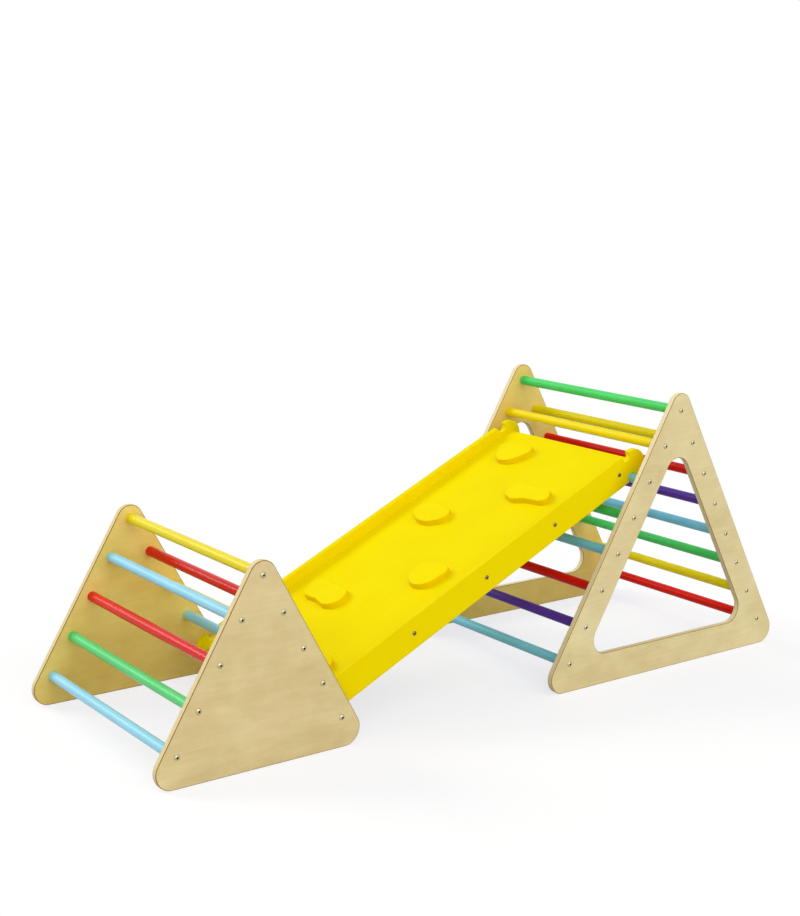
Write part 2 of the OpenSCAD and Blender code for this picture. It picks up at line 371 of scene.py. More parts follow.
    def _build_coat(self) -> None:
        """Builds sprayed paint over wood: uneven tone, orange peel and rubbed spots."""
        tree, given, sink = self._start(Effect.COAT, Paint="Color", Shade="Color",
                                        Gloss="Float", Peel="Float")
        vector = given["Vector"]
        cloud = tree.noise(vector, 9.0, 3.0)
        peel = tree.noise(vector, given["Peel"], 1.0)
        streak = tree.noise(vector, 1.0, 2.0, self.SPRAY_STREAKS)
        rubbed = tree.noise(vector, 26.0, 5.0, Roughness=0.7)
        tone = tree.math("ADD", tree.span(cloud, 0.35, 0.65, 0.0, 0.5),
                         tree.span(streak, *self.USUAL, 0.0, 0.35), clamp=True)
        wear = tree.span(rubbed, 0.45, 0.75, 0.0, 0.05)
        tree.fill(sink, Color=tree.mix(tone, given["Paint"], given["Shade"]),
                  Roughness=tree.math("ADD", given["Gloss"], wear),
                  Height=tree.math("MULTIPLY_ADD", streak, 0.5, tree.math("MULTIPLY", peel, 0.5)))

    def _build_plating(self) -> None:
        """Builds plated steel: a cloudy tone and fine turning marks."""
        tree, given, sink = self._start(Effect.PLATING, Bright="Color", Dull="Color",
                                        Rough="Float")
        tone = tree.span(tree.noise(given["Vector"], 420.0, 3.0), 0.35, 0.7)
        haze = tree.math("MULTIPLY", tone, 0.14)
        tree.fill(sink, Color=tree.mix(tone, given["Bright"], given["Dull"]),
                  Roughness=tree.math("ADD", haze, given["Rough"]),
                  Height=tree.noise(given["Vector"], 2600.0, 2.0))


@dataclass(frozen=True, kw_only=True)
class Finish:
    """What every finish has. Each field that a finish adds feeds its effect's input."""

    effect: ClassVar[Effect]
    name: str
    turn: Grain = Grain.ALONG_X
    bump: float = 0.2
    bump_mm: float = 0.1
    specular: float = 0.12
    metallic: float = 0.0

    def make(self, groups: Groups) -> Material:
        """Makes the material: the effect's group, and a Principled shader that takes its outputs.

        Args:
            groups: The shared node groups.

        Returns:
            The material.
        """
        shared = {entry.name for entry in fields(Finish)}
        own = {entry.name.capitalize(): getattr(self, entry.name)
               for entry in fields(self) if entry.name not in shared}
        material = bpy.data.materials.new(self.name)
        material.use_nodes = True
        tree = NodeTree(material.node_tree)
        place = tree.add("TexCoord").outputs["Object"]
        turned = tree.add("Mapping", Vector=place, Rotation=self.turn.value).outputs[0]
        group = {"node_tree": groups.built[self.effect]}
        result = tree.add("Group", settings=group, Vector=turned, **own).outputs
        bump = tree.add("Bump", Strength=self.bump, Distance=self.bump_mm * MM,
                        Height=result["Height"])
        shader = tree.add("BsdfPrincipled", Base_Color=result["Color"],
                          Roughness=result["Roughness"], Normal=bump.outputs[0],
                          Specular_IOR_Level=self.specular, Metallic=self.metallic)
        tree.add("OutputMaterial", Surface=shader.outputs[0])
        return material


@dataclass(frozen=True, kw_only=True)
class BirchFace(Finish):
    """The lacquered face of birch plywood."""

    effect = Effect.GRAIN
    bump: float = 0.12
    light: Colour = linear(242, 224, 168)
    dark: Colour = linear(216, 192, 130)
    blush: Colour = linear(238, 208, 158)
    figure: float = 0.26
    pores: float = 0.2


@dataclass(frozen=True, kw_only=True)
class PlyEdge(Finish):
    """The sanded edge of plywood, with its layers counted from the middle, in metres."""

    effect = Effect.PLIES
    bump: float = 0.3
    middle: float
    layer: float
    line: float
    light: Colour
    dark: Colour = linear(224, 200, 140)
    scorch: Colour


@dataclass(frozen=True, kw_only=True)
class Paint(Finish):
    """Sprayed paint on wood."""

    effect = Effect.COAT
    specular: float = 0.02
    paint: Colour
    shade: Colour
    gloss: float
    peel: float = 420.0


@dataclass(frozen=True, kw_only=True)
class PlatedSteel(Finish):
    """Plated steel, a little cloudy and turned."""

    effect = Effect.PLATING
    bump: float = 0.1
    bump_mm: float = 0.02
    specular: float = 0.5
    metallic: float = 1.0
    bright: Colour
    dull: Colour
    rough: float = 0.26


def arc(centre: Point, radius: float, start: float, end: float, step: float = 6.0) -> Loop:
    """Returns points along an arc.

    Args:
        centre: The arc's centre.
        radius: Its radius, negative for the far side of the circle.
        start: Start angle in degrees.
        end: End angle in degrees.
        step: Degrees between points, at most.

    Returns:
        The points, both ends among them.
    """
    count = max(1, math.ceil(abs(end - start) / step))
    angles = [math.radians(start + (end - start) * k / count) for k in range(count + 1)]
    return [(centre[0] + radius * math.cos(a), centre[1] + radius * math.sin(a)) for a in angles]


def hole(centre: Point, radius: float, step: float = 15.0) -> Loop:
    """Returns a round hole, clockwise, with a point every so many degrees."""
    return arc(centre, radius, 0, step - 360, step)


def tangent_loop(circles: list[Triple]) -> Loop:
    """Runs a smooth outline round a loop of circles, as the CAD source does.

    Args:
        circles: Centre and radius of each, anticlockwise. A negative radius makes a hollow.

    Returns:
        The outline, anticlockwise.
    """
    normals = []
    for (x, y, radius), (next_x, next_y, next_radius) in zip(circles, circles[1:] + circles[:1]):
        gap = math.hypot(next_x - x, next_y - y)
        heading = math.atan2(next_y - y, next_x - x) + math.asin((radius - next_radius) / gap)
        normals.append(math.degrees(heading) - 90)
    points: Loop = []
    for i, (x, y, radius) in enumerate(circles):
        start, end = normals[i - 1], normals[i]
        sweep = (end - start) % 360
        if radius < 0:
            sweep -= 360
        points += arc((x, y), radius, start, start + sweep)
    return points


def show(name: str, data: bpy.types.ID) -> Piece:
    """Adds an object to the scene.

    Args:
        name: Its name.
        data: Its mesh, lamp or lens.

    Returns:
        The new object.
    """
    thing = bpy.data.objects.new(name, data)
    bpy.context.scene.collection.objects.link(thing)
    return thing


def join(mesh: bmesh.types.BMesh, lower: list[bmesh.types.BMVert],
         upper: list[bmesh.types.BMVert], slot: int) -> None:
    """Joins two loops of points with a closed band of faces.

    Args:
        mesh: The mesh.
        lower: The first loop.
        upper: The second loop, with as many points.
        slot: Material slot of the band.
    """
    for i in range(len(lower)):
        j = (i + 1) % len(lower)
        mesh.faces.new((lower[i], lower[j], upper[j], upper[i])).material_index = slot


def into_piece(mesh: bmesh.types.BMesh, name: str, body: str, materials: list[Material],
               sharp: float) -> Piece:
    """Turns a mesh into a dressed piece that rides on its body.

    Args:
        mesh: The mesh, which is freed.
        name: Name of the piece.
        body: The CAD body that it rides on.
        materials: The material of each slot.
        sharp: Angle in degrees from which an edge stays sharp.

    Returns:
        The new object.
    """
    bmesh.ops.recalc_face_normals(mesh, faces=mesh.faces)
    for part in mesh.faces:
        part.smooth = True
    data = bpy.data.meshes.new(name)
    mesh.to_mesh(data)
    mesh.free()
    data.set_sharp_from_angle(angle=math.radians(sharp))
    for material in materials:
        data.materials.append(material)
    piece = show(name, data)
    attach(piece, body)
    return piece


@dataclass
class Plate:
    """A piece cut from board along flat loops, with its edges eased.

    The first loop is the outline, anticlockwise. The others are holes, clockwise. Lengths are in
    millimetres, as in the CAD source. The topmost bands of the edge, as many as crown says, wear
    the high face's material.
    """

    name: str
    loops: list[Loop]
    low: float
    high: float
    ease_low: float
    ease_high: float
    place: Matrix
    steps: int = 3
    crown: int = 0
    sharp: float = 48.0
    weight: int = 90
    least_share: float = 0.4

    def rings(self) -> list[Point]:
        """Lists the rings of points that the piece is built of.

        Returns:
            The inset and height of each ring, from the low face up.
        """
        turns = [math.pi / 2 * k / self.steps for k in range(self.steps + 1)]
        faces = ((self.low, self.ease_low, 1), (self.high, self.ease_high, -1))
        bottom, top = [
            [(ease * (1 - math.cos(a)), face + inward * ease * (1 - math.sin(a))) for a in turns]
            for face, ease, inward in faces]
        bottom.reverse()
        return (bottom if self.ease_low else bottom[:1]) + top

    def inset(self, loop: Loop, distance: float) -> Loop:
        """Moves a loop into the material.

        Args:
            loop: The loop, with the material on its left.
            distance: How far it moves.

        Returns:
            The moved loop, with as many points.
        """
        moved = []
        for i, here in enumerate(loop):
            before, after = loop[i - 1], loop[(i + 1) % len(loop)]
            into = Vector((here[0] - before[0], here[1] - before[1])).normalized()
            out = Vector((after[0] - here[0], after[1] - here[1])).normalized()
            normal = Vector((-into.y - out.y, into.x + out.x)).normalized()
            share = max(self.least_share, normal.dot(Vector((-into.y, into.x))))
            moved.append((here[0] + normal.x * distance / share,
                          here[1] + normal.y * distance / share))
        return moved

    def build(self, body: str, materials: list[Material]) -> Piece:
        """Builds the mesh, dresses it and sets it on its body.

        Args:
            body: The CAD body that it rides on.
            materials: The materials in the order of Surface.

        Returns:
            The new object.
        """
        mesh = bmesh.new()
        rings = self.rings()
        last = len(rings) - 1
        grid = [[[mesh.verts.new(self.place @ Vector((u * MM, v * MM, height * MM)))
                  for u, v in self.inset(loop, depth)] for depth, height in rings]
                for loop in self.loops]
        for columns in grid:
            for level, (lower, upper) in enumerate(zip(columns, columns[1:])):
                surface = Surface.HIGH_FACE if level >= last - self.crown else Surface.EDGE
                join(mesh, lower, upper, surface.value)
        for level, surface in ((0, Surface.LOW_FACE), (last, Surface.HIGH_FACE)):
            depth = rings[level][0]
            flat = [[Vector((u, v, 0.0)) for u, v in self.inset(loop, depth)]
                    for loop in self.loops]
            corners = [vert for columns in grid for vert in columns[level]]
            for triangle in tessellate_polygon(flat):
                order = [corners[i] for i in triangle]
                if surface is Surface.LOW_FACE:
                    order.reverse()
                mesh.faces.new(order).material_index = surface.value
        piece = into_piece(mesh, self.name, body, materials, self.sharp)
        even = piece.modifiers.new("even_normals", "WEIGHTED_NORMAL")
        even.keep_sharp = True
        even.weight = self.weight
        return piece


@dataclass(frozen=True)
class Fastener:
    """A bolt or screw with a domed head and a hex socket, in millimetres."""

    head_d: float
    head_h: float
    key_d: float
    shank_d: float
    shank_l: float
    rim: float = 0.7
    key_depth: float = 2.0
    round_off: float = 0.35
    tip_l: float = 1.0
    tip_share: float = 0.6
    shoulder: float = 0.1
    lip: float = 0.7
    bands: int = 5
    sides: int = 24
    sharp: float = 40.0

    @property
    def dome(self) -> float:
        """Radius of the sphere that the head's top is a part of."""
        head, rise = self.head_d / 2, self.head_h - self.rim
        return (head * head + rise * rise) / (2 * rise)

    def profile(self) -> list[tuple[float, float, Part]]:
        """Lists the turned rings, from the shank's tip to the lip round the socket.

        Returns:
            The radius, height and slot of each.
        """
        head, tip, dome = self.head_d / 2, self.shank_d / 2, self.dome
        turned = [(tip * self.tip_share, -self.shank_l), (tip, self.tip_l - self.shank_l),
                  (tip, 0.0), (head - self.round_off, 0.0), (head, self.round_off),
                  (head, self.rim)]
        # The shank, the head's underside and its edge take RIM, the dark metal that paints a ring
        # of shade round the head.
        rings = [(radius, height, Part.RIM) for radius, height in turned]
        start = math.asin((head - self.shoulder) / dome)
        mouth = math.asin((self.key_d / 2 + self.lip) / dome)
        for k in range(self.bands + 1):
            angle = start + (mouth - start) * k / self.bands
            rings.append((dome * math.sin(angle), self.head_h - dome * (1 - math.cos(angle)),
                          Part.DOME if k else Part.RIM))
        return rings

    def build(self, name: str, places: list[Matrix], body: str,
              metals: list[Material]) -> Piece:
        """Builds one mesh of as many fasteners as there are places.

        Args:
            name: Name of the piece.
            places: Where each stands, its head on Z.
            body: The CAD body that they ride on.
            metals: Materials in the order of Part.

        Returns:
            The new object.
        """
        mesh = bmesh.new()
        steps = [2 * math.pi * k / self.sides for k in range(self.sides)]
        sixth = math.pi / 3
        apothem = self.key_d / 2 * math.cos(sixth / 2)
        hexagon = [apothem / math.cos((a + sixth / 2) % sixth - sixth / 2) for a in steps]
        brim = self.head_h - self.dome + math.sqrt(self.dome * self.dome
                                                   - self.key_d * self.key_d / 4)
        rings = [([radius] * self.sides, height, part) for radius, height, part in self.profile()]
        # The socket's walls take RIM and its floor SOCKET: painted shade in the recess.
        rings += [(hexagon, brim, Part.DOME), (hexagon, self.head_h - self.key_depth, Part.RIM)]
        for place in places:
            loops = [[mesh.verts.new(place @ (Vector((r * math.cos(a), r * math.sin(a), z)) * MM))
                      for r, a in zip(radii, steps)] for radii, z, _ in rings]
            for lower, upper, (_, _, part) in zip(loops, loops[1:], rings[1:]):
                join(mesh, lower, upper, part.value)
            mesh.faces.new(loops[0][::-1]).material_index = Part.RIM.value
            mesh.faces.new(loops[-1]).material_index = Part.SOCKET.value
        return into_piece(mesh, name, body, metals, self.sharp)


def cover(node: str, material: Material) -> None:
    """Gives a CAD node one material.

    Args:
        node: The node's name.
        material: The material.
    """
    slots = frame["nodes"][node].data.materials
    slots.clear()
    slots.append(material)


@dataclass
class Triangle:
    """One climbing triangle: two plywood sides, its rungs and its bolts, in millimetres."""

    body: str
    pitch: float
    first: float
    inset: float
    count: int
    front_paint: str
    back_paint: str
    top_paint: str
    band: float = 0.0
    apex_r: float = 34.1
    foot_r: float = 40.0
    window_r: float = 41.0
    ply_t: float = 15.0
    plies: int = 11
    hole_r: float = 3.25
    ease: float = 1.8
    ply_light: Colour = linear(244, 230, 178)
    ply_scorch: Colour = linear(160, 120, 64)
    bolt: Fastener = Fastener(head_d=13.0, head_h=3.5, key_d=5.8, shank_d=6.0, shank_l=30.0)

    @property
    def prefix(self) -> str:
        """What the names of its nodes start with."""
        return self.body.split("_")[0]

    @property
    def top(self) -> float:
        """Height of the top rung."""
        return self.first + self.count * self.pitch * math.sin(LEG_ANGLE)

    def outline(self, height: float, base: float, top_r: float, low_r: float) -> Loop:
        """Returns a rounded equilateral triangle, anticlockwise.

        Args:
            height: Height of the sharp top.
            base: Height of its lower edge.
            top_r: Radius of the top corner.
            low_r: Radius of the low corners.

        Returns:
            The outline.
        """
        half = (height - base) / math.tan(LEG_ANGLE) - low_r / math.tan(LEG_ANGLE / 2)
        return tangent_loop([(half, base + low_r, low_r), (0, height - 2 * top_r, top_r),
                             (-half, base + low_r, low_r)])

    def rung_centres(self) -> list[Point]:
        """Lists the rungs, from the top one down each leg.

        Returns:
            Every rung's centre in the plane of the sides.
        """
        centres = [(0.0, self.top)]
        for way in (-1, 1):
            for i in range(1, self.count + 1):
                centres.append((way * i * self.pitch / 2,
                                self.top - i * self.pitch * math.sin(LEG_ANGLE)))
        return centres

    def build_side(self, side: Side, groups: Groups, outer: Material, inner: Material) -> None:
        """Builds one plywood side in place of its CAD node.

        Args:
            side: Which side.
            groups: The shared node groups.
            outer: Material of the face that looks outward.
            inner: Material of the face that the rungs meet.
        """
        node = f"{self.prefix}_{side.label}_panel"
        low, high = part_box(node)
        height = self.top + 2 * self.inset
        loops = [self.outline(height, 0, self.apex_r, self.foot_r)]
        if self.band:
            window = self.outline(height - 2 * self.band, self.band, self.window_r, self.window_r)
            loops.append(window[::-1])
        loops += [hole(centre, self.hole_r) for centre in self.rung_centres()]
        axes = (Vector((1, 0, 0)), Vector((0, 0, 1)), Vector((0, 1, 0)))
        place = standing(axes, Vector(((low.x + high.x) / 2, 0, 0)))
        plate = Plate(node + "_eased", loops, low.y / MM, high.y / MM, self.ease, self.ease, place)
        edge = PlyEdge(name=node + "_edge", middle=(low.y + high.y) / 2,
                       layer=self.ply_t * MM / self.plies, line=(self.ply_t / 2 - self.ease) * MM,
                       light=self.ply_light, scorch=self.ply_scorch).make(groups)
        piece = plate.build(self.body, side.ordered(outer, edge, inner))
        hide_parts(node)
        LOG.info("%s: plywood side with %d openings", node, len(loops) - 1)

    def build_bolts(self, side: Side, metals: list[Material]) -> None:
        """Builds the turned bolts of one side in place of their CAD node.

        Args:
            side: Which side.
            metals: Materials of a fastener, in the order of Part.
        """
        node = f"{self.prefix}_{side.label}_bolts"
        low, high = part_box(node)
        middle = (low.x + high.x) / 2
        face = side.outermost(f"{self.prefix}_{side.label}_panel")
        places = [side.looking_out(middle + x * MM, face, z * MM) for x, z in self.rung_centres()]
        piece = self.bolt.build(node + "_turned", places, self.body, metals)
        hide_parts(node)
        LOG.info("%s: %d bolts", node, len(places))

    def dress(self, paints: dict[str, Material], plated: Material) -> None:
        """Paints the rungs and plates the inserts.

        Args:
            paints: Material of each paint's letter.
            plated: Material of the inserts.
        """
        wear = {f"{self.prefix}_top_rung": self.top_paint}
        for leg, letters in (("front", self.front_paint), ("back", self.back_paint)):
            for i, letter in enumerate(letters, 1):
                wear[f"{self.prefix}_{leg}_rung_{i}"] = letter
        for node, letter in wear.items():
            cover(node, paints[letter])
        cover(f"{self.prefix}_inserts", plated)
        LOG.info("%s: %d rungs painted", self.body, len(wear))


@dataclass
class Ramp:
    """The ramp: two rails, the walking board and six climbing grips, in millimetres."""

    body: str = "ramp"
    seats: float = 1019.0
    rail_h: float = 75.5
    rail_ease: float = 2.2
    seat_in: float = 6.0
    notch_r: float = 12.8
    lip_r: float = 6.0
    nose_in: float = 18.5
    board_t: float = 12.0
    board_setback: float = 28.0
    board_ease: float = 1.0
    screw_start: float = 38.0
    screw_end: float = 32.0
    screw_count: int = 5
    screw_r: float = 2.55
    screw: Fastener = Fastener(head_d=11.0, head_h=3.0, key_d=4.6, shank_d=5.0, shank_l=50.0)
    grip_w: float = 150.0
    grip_t: float = 17.0
    grip_ease: float = 4.5
    grip_steps: int = 6
    grip_crown: int = 4
    # Where each grip is, as shares of the seats' distance and of the board's half width.
    grip_places: tuple[Point, ...] = (
        (0.0756, 0.514), (0.2115, -0.3875), (0.3768, 0.4755), (0.5721, -0.4455),
        (0.74, 0.4325), (0.9352, -0.4625))
    # The circles that each grip's outline runs round, as shares of the grips' width.
    grip_outlines: tuple[tuple[Triple, ...], ...] = (
        ((-0.018, 0.001, 0.299), (-0.105, 0.22, 0.153), (-0.14, 0.013, 0.18),
         (-0.133, -0.19, 0.183)),
        ((0.091, 0.173, 0.145), (-0.011, 0.285, 0.211), (-0.09, -0.303, 0.142),
         (-0.016, -0.364, 0.132), (0.507, -0.164, -0.369)),
        ((0.018, 0.047, 0.24), (-0.03, 0.181, 0.22), (-0.03, 0.007, 0.235),
         (-0.033, -0.179, 0.213), (0.018, -0.067, 0.238)),
        ((0.026, -0.018, 0.293), (-0.037, 0.113, 0.22), (-0.06, -0.013, 0.253),
         (-0.15, -0.177, 0.16)),
        ((0.025, -0.243, 0.239), (0.371, 0.028, -0.155), (0.05, 0.262, 0.177),
         (-0.075, 0.313, 0.179), (-0.013, -0.239, 0.225)),
        ((0.007, 0.0, 0.24), (-0.013, 0.22, 0.2), (-0.02, 0.0, 0.22), (-0.013, -0.223, 0.203)))

    def __post_init__(self) -> None:
        """Works out the board's and the rails' planes from the ramp's joint and boxes."""
        hook = next(joint for joint in frame["joints"] if joint["child"] == self.body)
        seat = Vector(hook["pos_m"])
        low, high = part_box("ramp_near_rail")
        run, rise = high.x - low.x - self.rail_h * MM, high.z - low.z - self.rail_h * MM
        slope = math.atan2(rise, run)
        down = Vector((-math.cos(slope), 0, -math.sin(slope)))
        up = Vector((-math.sin(slope), 0, math.cos(slope)))
        across = Vector((0, 1, 0))
        origin = seat - up * self.seat_in * MM
        self.board_plane = standing((down, across, up), origin)
        self.rail_plane = standing((down, up, across), origin - across * seat.y)
        low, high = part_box("ramp_board")
        self.half_width = (high.y - low.y) / 2 / MM
        LOG.info("ramp: slope %.2f degrees", math.degrees(slope))

    def rail_outline(self) -> Loop:
        """Draws a rail with its four notches.

        Returns:
            The outline, anticlockwise.
        """
        run = [(-self.nose_in, 0.0), (-self.notch_r, 0.0)]
        run += arc((0, self.seat_in), self.notch_r, 180, 0)
        run += arc((self.notch_r + self.lip_r, self.seat_in), self.lip_r, 180, 270, 15)
        middle = self.rail_h / 2
        far = [(self.seats - s, t) for s, t in reversed(run)]
        right = arc((self.seats + self.nose_in, middle), middle, -90, 90)[1:-1]
        far_top = [(self.seats - s, self.rail_h - t) for s, t in run]
        top = [(s, self.rail_h - t) for s, t in reversed(run)]
        left = arc((-self.nose_in, middle), middle, 90, 270)[1:-1]
        return run + far + right + far_top + top + left

    def screw_centres(self) -> list[Point]:
        """Returns the rail screws' centres, along the ramp and up from the rail's lower edge."""
        pitch = (self.seats - self.screw_start - self.screw_end) / (self.screw_count - 1)
        return [(self.screw_start + i * pitch, self.rail_h / 2) for i in range(self.screw_count)]

    def build_rail(self, side: Side, outer: Material, edge: Material, inner: Material) -> None:
        """Builds one rail in place of its CAD node.

        Args:
            side: Which rail.
            outer: Material of its outward face.
            edge: Material of its edges.
            inner: Material of the face that meets the board.
        """
        node = f"ramp_{side.label}_rail"
        low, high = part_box(node)
        loops = [self.rail_outline(), *(hole(c, self.screw_r) for c in self.screw_centres())]
        plate = Plate(node + "_eased", loops, low.y / MM, high.y / MM, self.rail_ease,
                      self.rail_ease, self.rail_plane)
        piece = plate.build(self.body, side.ordered(outer, edge, inner))
        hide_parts(node)
        LOG.info("%s: %d points round the outline", node, len(loops[0]))

    def build_screws(self, side: Side, metals: list[Material]) -> None:
        """Builds the turned screws of one rail in place of their CAD node.

        Args:
            side: Which rail.
            metals: Materials of a fastener, in the order of Part.
        """
        node = f"ramp_{side.label}_screws"
        face = side.outermost(f"ramp_{side.label}_rail")
        places = []
        for along, up in self.screw_centres():
            centre = self.rail_plane @ Vector((along * MM, up * MM, 0))
            places.append(side.looking_out(centre.x, face, centre.z))
        piece = self.screw.build(node + "_turned", places, self.body, metals)
        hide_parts(node)
        LOG.info("%s: %d screws", node, len(places))

    def build_board(self, face: Material, edge: Material) -> None:
        """Builds the walking board in place of its CAD node.

        Args:
            face: Material of its faces.
            edge: Material of its edges.
        """
        over = self.nose_in + self.rail_h / 2 - self.board_setback
        bottom = (self.rail_h - self.board_t) / 2
        ends, half = (-over, self.seats + over), self.half_width
        loop = [(ends[0], -half), (ends[1], -half), (ends[1], half), (ends[0], half)]
        plate = Plate("ramp_board_eased", [loop], bottom, bottom + self.board_t, self.board_ease,
                      self.board_ease, self.board_plane)
        piece = plate.build(self.body, [face, edge, face])
        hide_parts("ramp_board")
        LOG.info("ramp_board: %.0f mm long", ends[1] - ends[0])

    def build_grips(self, face: Material, wall: Material) -> None:
        """Builds the six grips in place of their CAD nodes.

        Args:
            face: Material of their flat faces.
            wall: Material of their walls, a darker copy of the grip paint that paints shade on
                them.
        """
        bottom = (self.rail_h + self.board_t) / 2
        pairs = zip(self.grip_outlines, self.grip_places)
        for number, (circles, (along, across)) in enumerate(pairs, 1):
            outline = tangent_loop([(x * self.grip_w + along * self.seats,
                                     y * self.grip_w + across * self.half_width,
                                     r * self.grip_w) for x, y, r in circles])
            plate = Plate(f"grip_{number}_eased", [outline], bottom, bottom + self.grip_t,
                          0.0, self.grip_ease, self.board_plane, self.grip_steps,
                          self.grip_crown)
            piece = plate.build(self.body, [face, wall, face])
            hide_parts(f"grip_{number}")
        LOG.info("ramp: %d grips", len(self.grip_outlines))


@dataclass
class Studio:
    """The pale floor, the soft lights, the white background and the camera."""

    floor_size: float = 60.0
    floor_tone: float = 0.5
    speckle_share: float = 0.98
    shadow_share: Colour = (0.4, 0.383, 0.298)
    open_level: float = 0.88
    fade_start: float = 1.3
    fade_end: float = 2.6
    sky: float = 0.38
    lamp_distance: float = 6.0
    camera_place: Triple = (-2.33546, -2.93664, 1.30368)
    camera_turn: float = 0.6485
    camera_dip: float = 0.1968
    camera_roll: float = 0.0217
    focal_pixels: float = 1528.33
    image_width: float = 800.0
    sensor_mm: float = 36.0
    camera_reach: Point = (0.05, 200.0)

    def build_floor(self) -> None:
        """Builds the floor, which shows the camera a light version of the set's shadow."""
        half = self.floor_size / 2
        corners = [(-half, -half, 0), (half, -half, 0), (half, half, 0), (-half, half, 0)]
        data = bpy.data.meshes.new("studio_floor")
        data.from_pydata(corners, [], [(0, 1, 2, 3)])
        floor = show("studio_floor", data)
        material = bpy.data.materials.new("studio_floor")
        material.use_nodes = True
        tree = NodeTree(material.node_tree)
        place = tree.add("TexCoord").outputs["Object"]
        radius = tree.add("VectorMath", place, settings={"operation": "LENGTH"}).outputs["Value"]
        far = tree.span(radius, self.fade_start, self.fade_end)
        tones = [(self.floor_tone * share,) * 3 for share in (1.0, self.speckle_share)]
        plain = tree.add("BsdfDiffuse", Color=tree.mix(tree.noise(place, 30.0, 2.0), *tones))
        matte = tree.add("BsdfDiffuse", Color=tree.mix(far, self.shadow_share, (0.0,) * 3))
        white = tuple(1 - share * self.open_level for share in self.shadow_share)
        glow = tree.add("Emission", Color=tree.mix(far, white, (1.0,) * 3), Strength=1.0)
        shown = tree.add("AddShader", matte.outputs[0], glow.outputs[0])
        blend = tree.add("MixShader", self.seen(tree), plain.outputs[0], shown.outputs[0])
        tree.add("OutputMaterial", Surface=blend.outputs[0])
        data.materials.append(material)

    @staticmethod
    def seen(tree: NodeTree) -> Socket:
        """Adds the test of what the camera sees, directly, through a surface or in a gloss.

        Args:
            tree: The tree that it goes in.

        Returns:
            A socket that is 1 for what is seen, and 0 for the rest.
        """
        path = tree.add("LightPath").outputs
        bent = tree.math("MAXIMUM", path["Is Glossy Ray"], path["Is Transmission Ray"])
        return tree.math("MAXIMUM", path["Is Camera Ray"], bent)

    def build_sky(self) -> None:
        """Builds the world: soft light on the set, white to the camera."""
        world = bpy.data.worlds.new("studio")
        bpy.context.scene.world = world
        world.use_nodes = True
        tree = NodeTree(world.node_tree)
        strength = tree.math("MULTIPLY_ADD", self.seen(tree), 1.0 - self.sky, self.sky)
        sky = tree.add("Background", Color=(1.0,) * 3, Strength=strength)
        tree.add("OutputWorld", Surface=sky.outputs[0])

    def add_lamp(self, name: str, azimuth: float, elevation: float, spread: float,
                 strength: float) -> None:
        """Adds one soft distant lamp.

        Args:
            name: Its name.
            azimuth: Where it stands, in degrees from +X toward +Y.
            elevation: Its height, in degrees.
            spread: Its width, in degrees.
            strength: Its strength.
        """
        lamp = bpy.data.lights.new(name, "SUN")
        lamp.angle = math.radians(spread)
        lamp.energy = strength
        light = show(name, lamp)
        around, up = math.radians(azimuth), math.radians(elevation)
        toward = Vector((math.cos(around) * math.cos(up), math.sin(around) * math.cos(up),
                         math.sin(up)))
        light.location = toward * self.lamp_distance
        light.rotation_euler = toward.to_track_quat("Z", "Y").to_euler()

    def build_camera(self) -> None:
        """Builds the camera solved from the photograph."""
        turn, dip, roll = self.camera_turn, self.camera_dip, self.camera_roll
        ahead = Vector((math.sin(turn) * math.cos(dip), math.cos(turn) * math.cos(dip),
                        -math.sin(dip)))
        right = ahead.cross(Vector((0, 0, 1))).normalized()
        up = right.cross(ahead)
        tilted = right * math.cos(roll) + up * math.sin(roll)
        risen = up * math.cos(roll) - right * math.sin(roll)
        lens = bpy.data.cameras.new("camera")
        lens.sensor_fit = "HORIZONTAL"
        lens.sensor_width = self.sensor_mm
        lens.lens = self.focal_pixels / self.image_width * self.sensor_mm
        lens.clip_start, lens.clip_end = self.camera_reach
        camera = show("camera", lens)
        camera.matrix_world = standing((tilted, risen, -ahead), Vector(self.camera_place))
        bpy.context.scene.camera = camera

    def build(self) -> None:
        """Builds the whole studio."""
        bpy.context.scene.view_settings.view_transform = "Standard"
        self.build_floor()
        self.build_sky()
        self.add_lamp("top", azimuth=115, elevation=72, spread=44, strength=0.14)
        self.add_lamp("rear", azimuth=124, elevation=33, spread=32, strength=1.28)
        self.add_lamp("front", azimuth=-100, elevation=26, spread=90, strength=1.85)
        self.build_camera()
        LOG.info("studio: floor, sky, lights and camera")


# The rim and socket metals are dark, painting shade on the ring round each head, the socket's
# walls and its floor.
METALS = {
    "zinc_dome": (linear(196, 186, 154), linear(168, 158, 128)),
    "zinc_painted_shade_rim": (linear(58, 52, 42), linear(42, 36, 28)),
    "zinc_painted_shade_socket": (linear(38, 34, 30), linear(24, 21, 18)),
    "screw_dome": (linear(140, 128, 88), linear(100, 89, 57)),
    "insert_steel": (linear(200, 190, 150), linear(160, 148, 110)),
}
SMALL_TONES = {
    "y": ("yellow", linear(250, 232, 8), linear(244, 222, 2)),
    "b": ("light_blue", linear(166, 231, 252), linear(150, 221, 246)),
    "g": ("green", linear(98, 226, 130), linear(86, 213, 116)),
    "r": ("red", linear(236, 26, 6), linear(224, 21, 4)),
}
# The large triangle's tones copy the small ones with bluer blue, richer green and warmer yellow:
# painted light that offsets the yellow bounce on its shaded rungs.
LARGE_TONES = {
    "y": ("yellow", linear(255, 232, 10), linear(250, 224, 4)),
    "b": ("light_blue", linear(142, 225, 255), linear(126, 215, 250)),
    "g": ("green", linear(86, 227, 116), linear(74, 214, 102)),
    "r": ("red", linear(238, 27, 6), linear(226, 21, 4)),
    "p": ("purple", linear(101, 62, 186), linear(89, 52, 172)),
}


